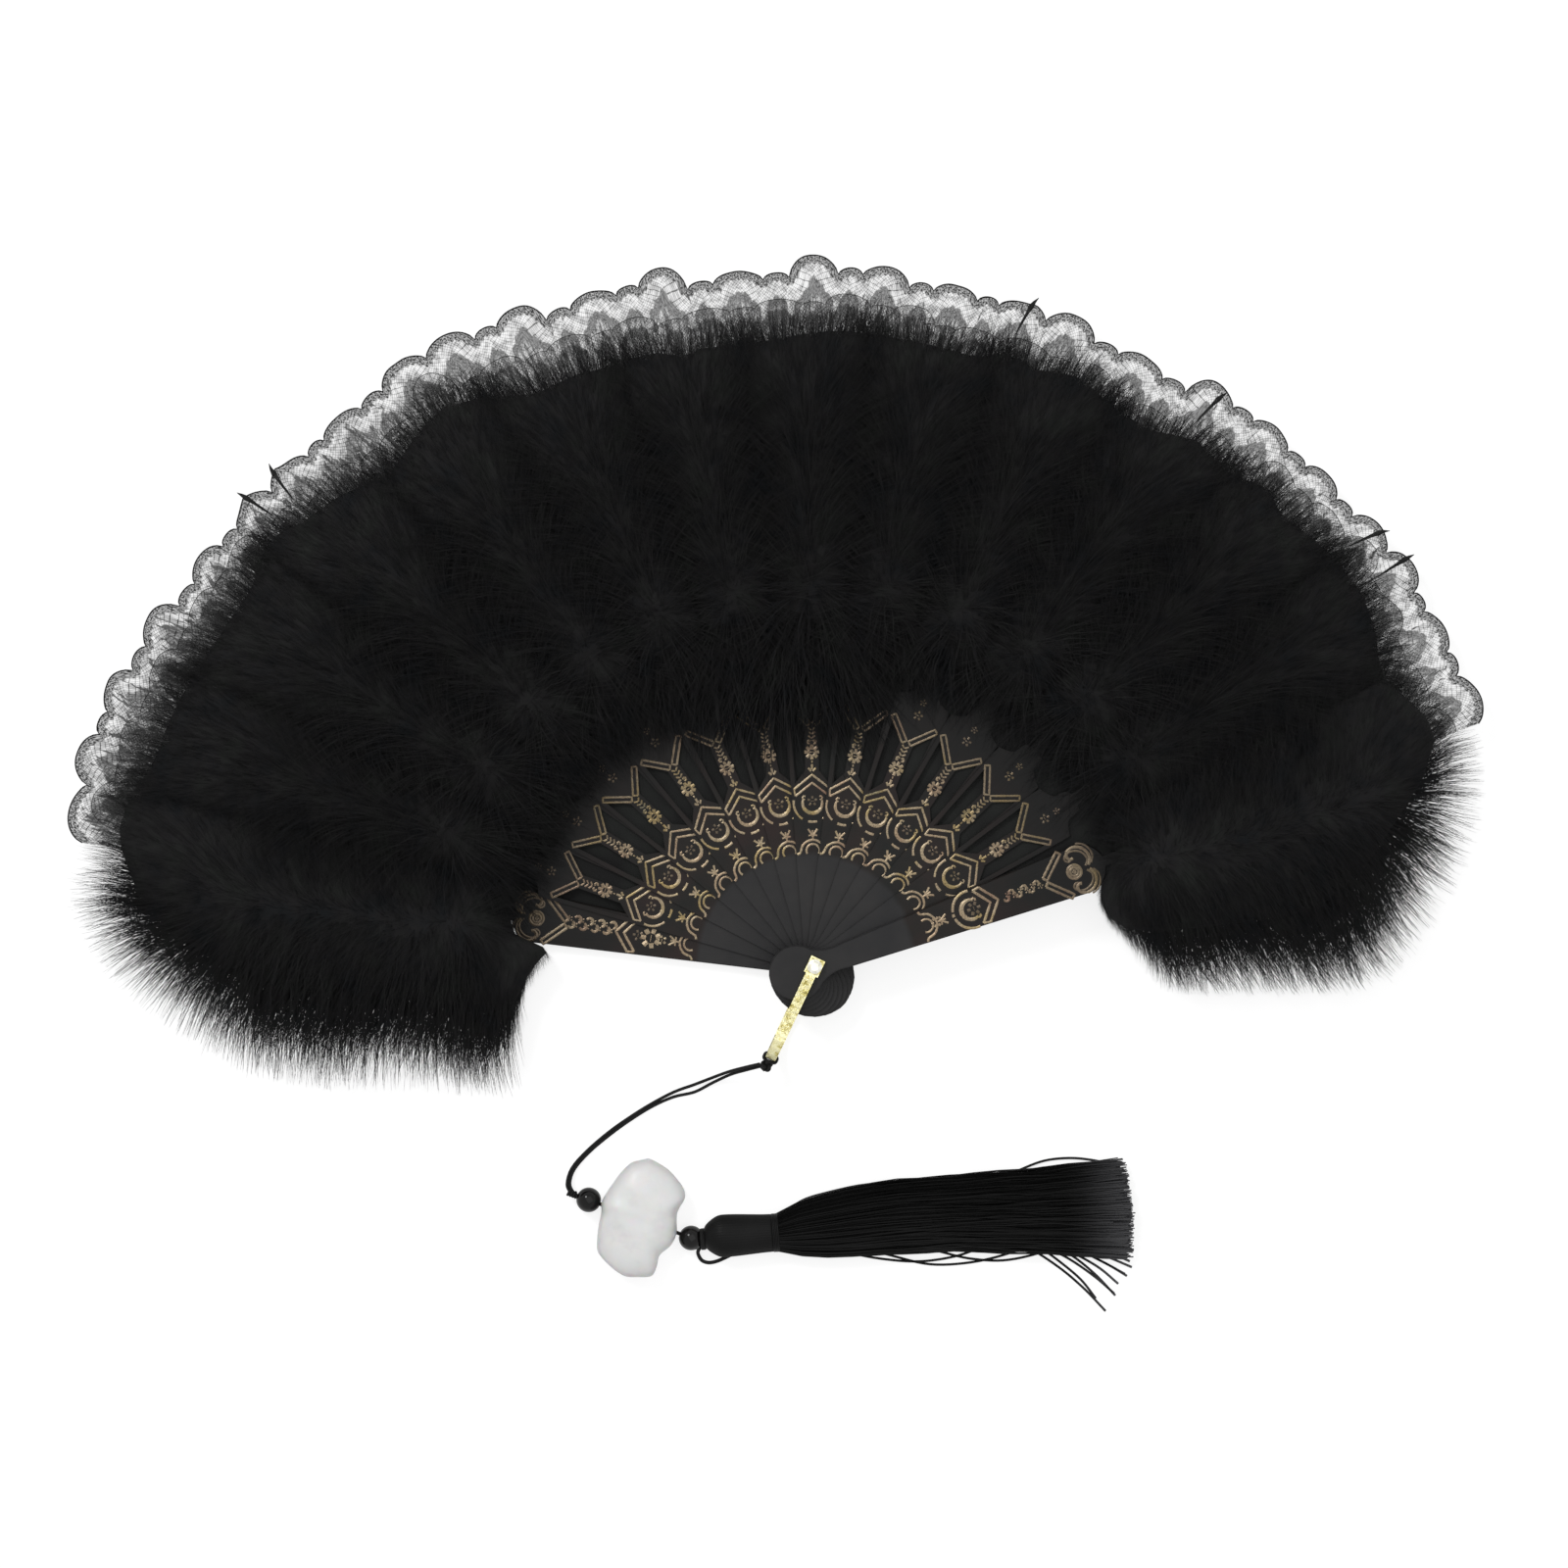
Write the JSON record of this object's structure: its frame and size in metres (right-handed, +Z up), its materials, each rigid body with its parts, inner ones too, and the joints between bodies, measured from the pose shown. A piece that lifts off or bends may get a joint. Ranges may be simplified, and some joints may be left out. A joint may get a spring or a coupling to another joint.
{
  "type": "feather folding fan",
  "caption": "Open black feather folding fan: pierced sticks with gold ornament on one rivet, lace rim, brass shackle, and a beaded cord with a tassel.",
  "frame": {"origin": "on the rivet's axis, at the flat foot of the rivet, which lies on the table", "axes": "+X to the right of the open fan, +Y from the rivet towards the fan's crown, +Z up from the table"},
  "size_m": [0.4539, 0.3248, 0.026],
  "materials": {
    "black_stick": "black moulded sticks with a soft sheen, stamped with gold foil ornament",
    "gold_brass": "pale bright brass, knurled",
    "feather": "black marabou feather, soft and matt",
    "lace": "black net lace with a corded scalloped edge",
    "black_cord": "thin twisted black cord",
    "black_bead": "polished black bead",
    "white_pendant": "milky translucent carved flower pendant",
    "tassel_thread": "black rayon tassel thread"
  },
  "bodies": {
    "left_guard": {"guard_left": "black_stick", "plume_guard_left": "feather", "rivet": "gold_brass", "rivet_cap": "gold_brass"},
    "stick_01": {"rib_01": "black_stick", "plume_rib_01": "feather", "lace_01": "lace"},
    "stick_02": {"rib_02": "black_stick", "plume_rib_02": "feather", "lace_02": "lace"},
    "stick_03": {"rib_03": "black_stick", "plume_rib_03": "feather", "lace_03": "lace"},
    "stick_04": {"rib_04": "black_stick", "plume_rib_04": "feather", "lace_04": "lace"},
    "stick_05": {"rib_05": "black_stick", "plume_rib_05": "feather", "lace_05": "lace"},
    "stick_06": {"rib_06": "black_stick", "plume_rib_06": "feather", "lace_06": "lace"},
    "stick_07": {"rib_07": "black_stick", "plume_rib_07": "feather", "lace_07": "lace"},
    "stick_08": {"rib_08": "black_stick", "plume_rib_08": "feather", "lace_08": "lace"},
    "stick_09": {"rib_09": "black_stick", "plume_rib_09": "feather", "lace_09": "lace"},
    "stick_10": {"rib_10": "black_stick", "plume_rib_10": "feather", "lace_10": "lace"},
    "stick_11": {"rib_11": "black_stick", "plume_rib_11": "feather", "lace_11": "lace"},
    "stick_12": {"rib_12": "black_stick", "plume_rib_12": "feather", "lace_12": "lace"},
    "right_guard": {"guard_right": "black_stick", "plume_guard_right": "feather", "lace_13": "lace"},
    "bail": {"shackle": "gold_brass", "cord_knot": "black_cord"},
    "tassel_cord": {"cord_strand_a": "black_cord", "cord_strand_b": "black_cord", "carrier_cord": "black_cord", "bead_upper": "black_bead", "pendant": "white_pendant", "bead_lower": "black_bead", "tassel_loop": "black_cord", "tassel_head": "tassel_thread", "tassel_binding": "tassel_thread", "tassel_skirt": "tassel_thread"}
  },
  "joints": [
    {"name": "fold_01", "type": "hinge", "parent": "left_guard", "child": "stick_01", "pos_m": [0, 0, 0.01], "axis": [0, 0, 1], "range_deg": [0, 10.1], "deforming": ["plume_guard_left", "plume_rib_01", "lace_01"]},
    {"name": "fold_02", "type": "hinge", "parent": "stick_01", "child": "stick_02", "pos_m": [0, 0, 0.01], "axis": [0, 0, 1], "range_deg": [0, 11.62], "deforming": ["plume_rib_02", "lace_02"]},
    {"name": "fold_03", "type": "hinge", "parent": "stick_02", "child": "stick_03", "pos_m": [0, 0, 0.01], "axis": [0, 0, 1], "range_deg": [0, 11.62], "deforming": ["plume_rib_03", "lace_03"]},
    {"name": "fold_04", "type": "hinge", "parent": "stick_03", "child": "stick_04", "pos_m": [0, 0, 0.01], "axis": [0, 0, 1], "range_deg": [0, 11.62], "deforming": ["plume_rib_04", "lace_04"]},
    {"name": "fold_05", "type": "hinge", "parent": "stick_04", "child": "stick_05", "pos_m": [0, 0, 0.01], "axis": [0, 0, 1], "range_deg": [0, 11.62], "deforming": ["plume_rib_05", "lace_05"]},
    {"name": "fold_06", "type": "hinge", "parent": "stick_05", "child": "stick_06", "pos_m": [0, 0, 0.01], "axis": [0, 0, 1], "range_deg": [0, 11.62], "deforming": ["plume_rib_06", "lace_06"]},
    {"name": "fold_07", "type": "hinge", "parent": "stick_06", "child": "stick_07", "pos_m": [0, 0, 0.01], "axis": [0, 0, 1], "range_deg": [0, 11.62], "deforming": ["plume_rib_07", "lace_07"]},
    {"name": "fold_08", "type": "hinge", "parent": "stick_07", "child": "stick_08", "pos_m": [0, 0, 0.01], "axis": [0, 0, 1], "range_deg": [0, 11.62], "deforming": ["plume_rib_08", "lace_08"]},
    {"name": "fold_09", "type": "hinge", "parent": "stick_08", "child": "stick_09", "pos_m": [0, 0, 0.01], "axis": [0, 0, 1], "range_deg": [0, 11.62], "deforming": ["plume_rib_09", "lace_09"]},
    {"name": "fold_10", "type": "hinge", "parent": "stick_09", "child": "stick_10", "pos_m": [0, 0, 0.01], "axis": [0, 0, 1], "range_deg": [0, 11.62], "deforming": ["plume_rib_10", "lace_10"]},
    {"name": "fold_11", "type": "hinge", "parent": "stick_10", "child": "stick_11", "pos_m": [0, 0, 0.01], "axis": [0, 0, 1], "range_deg": [0, 11.62], "deforming": ["plume_rib_11", "lace_11"]},
    {"name": "fold_12", "type": "hinge", "parent": "stick_11", "child": "stick_12", "pos_m": [0, 0, 0.01], "axis": [0, 0, 1], "range_deg": [0, 11.62], "deforming": ["plume_rib_12", "lace_12"]},
    {"name": "fold_13", "type": "hinge", "parent": "stick_12", "child": "right_guard", "pos_m": [0, 0, 0.01], "axis": [0, 0, 1], "range_deg": [0, 12.62], "deforming": ["plume_guard_right", "lace_13"]},
    {"name": "bail_swing", "type": "hinge", "parent": "left_guard", "child": "bail", "pos_m": [0, 0, 0.01], "axis": [0, 0, 1], "range_deg": [-50, 90]},
    {"name": "tassel_trail", "type": "hinge", "parent": "bail", "child": "tassel_cord", "pos_m": [-0.01587, -0.03342, 0.01], "axis": [0, 0, 1], "range_deg": [-90, 50], "deforming": ["cord_strand_a", "cord_strand_b"]}
  ],
  "couplings": [
    {"joint": "fold_02", "follows": "fold_01", "ratio": 1.15},
    {"joint": "fold_03", "follows": "fold_01", "ratio": 1.15},
    {"joint": "fold_04", "follows": "fold_01", "ratio": 1.15},
    {"joint": "fold_05", "follows": "fold_01", "ratio": 1.15},
    {"joint": "fold_06", "follows": "fold_01", "ratio": 1.15},
    {"joint": "fold_07", "follows": "fold_01", "ratio": 1.15},
    {"joint": "fold_08", "follows": "fold_01", "ratio": 1.15},
    {"joint": "fold_09", "follows": "fold_01", "ratio": 1.15},
    {"joint": "fold_10", "follows": "fold_01", "ratio": 1.15},
    {"joint": "fold_11", "follows": "fold_01", "ratio": 1.15},
    {"joint": "fold_12", "follows": "fold_01", "ratio": 1.15},
    {"joint": "fold_13", "follows": "fold_01", "ratio": 1.25},
    {"joint": "tassel_trail", "follows": "bail_swing", "ratio": -1}
  ]
}
